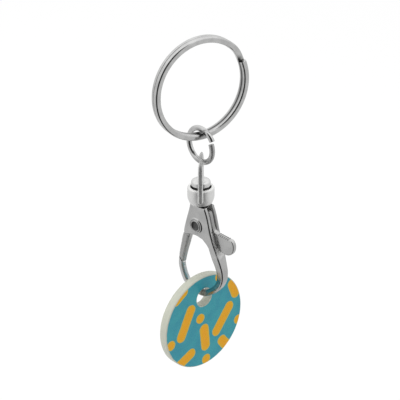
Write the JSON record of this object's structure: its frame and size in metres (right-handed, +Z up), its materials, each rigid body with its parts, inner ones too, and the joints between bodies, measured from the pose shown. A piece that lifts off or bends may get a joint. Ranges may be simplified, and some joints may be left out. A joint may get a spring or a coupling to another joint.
{
  "type": "coin holder keyring",
  "caption": "Keyring with a swivelling trigger hook whose spring gate holds a pierced plastic trolley coin.",
  "frame": {"origin": "inside of the split ring at its top, where a key hook or a loop would hold it", "axes": "+Z up, the line that everything hangs in; the hook's flat sides face -Y and +Y, its gate is at -X and its thumb tab at +X"},
  "size_m": [0.0167, 0.0234, 0.0817],
  "materials": {
    "nickel_wire": "polished nickel plate on wire",
    "nickel_casting": "nickel plate on a zinc die casting",
    "rivet_steel": "nickel plate, darker in the dished head",
    "spring_steel": "oiled spring wire",
    "coin_plastic": "ivory moulding printed in teal and yellow on both faces"
  },
  "bodies": {
    "split_ring": {"split_ring": "nickel_wire"},
    "jump_ring": {"jump_ring": "nickel_wire"},
    "swivel_eye": {"swivel_eye": "nickel_casting"},
    "hook": {"hook_body": "nickel_casting", "gate_rivet": "rivet_steel", "gate_spring": "spring_steel"},
    "gate": {"gate_lever": "nickel_casting"},
    "coin": {"coin": "coin_plastic"}
  },
  "joints": [
    {"name": "jump_ring_swing", "type": "hinge", "parent": "split_ring", "child": "jump_ring", "pos_m": [0, 0, -0.0219], "axis": [0.2756, 0.9613, 0], "range_deg": [-15, 15]},
    {"name": "swivel_eye_swing", "type": "hinge", "parent": "jump_ring", "child": "swivel_eye", "pos_m": [0, 0, -0.02817], "axis": [0.9925, -0.1219, 0], "range_deg": [-40, 40]},
    {"name": "hook_swivel", "type": "hinge", "parent": "swivel_eye", "child": "hook", "pos_m": [0, 0, -0.0386], "axis": [0, 0, 1], "continuous": true},
    {"name": "gate_pivot", "type": "hinge", "parent": "hook", "child": "gate", "pos_m": [0, 0, -0.0436], "axis": [0, -1, 0], "range_deg": [0, 20], "stiffness_Nm_per_rad": 0.01, "springref_deg": -20.05, "deforming": ["gate_spring"]},
    {"name": "coin_swing", "type": "hinge", "parent": "hook", "child": "coin", "pos_m": [0, 0, -0.0613], "axis": [1, 0, 0], "range_deg": [-35, 35]}
  ]
}
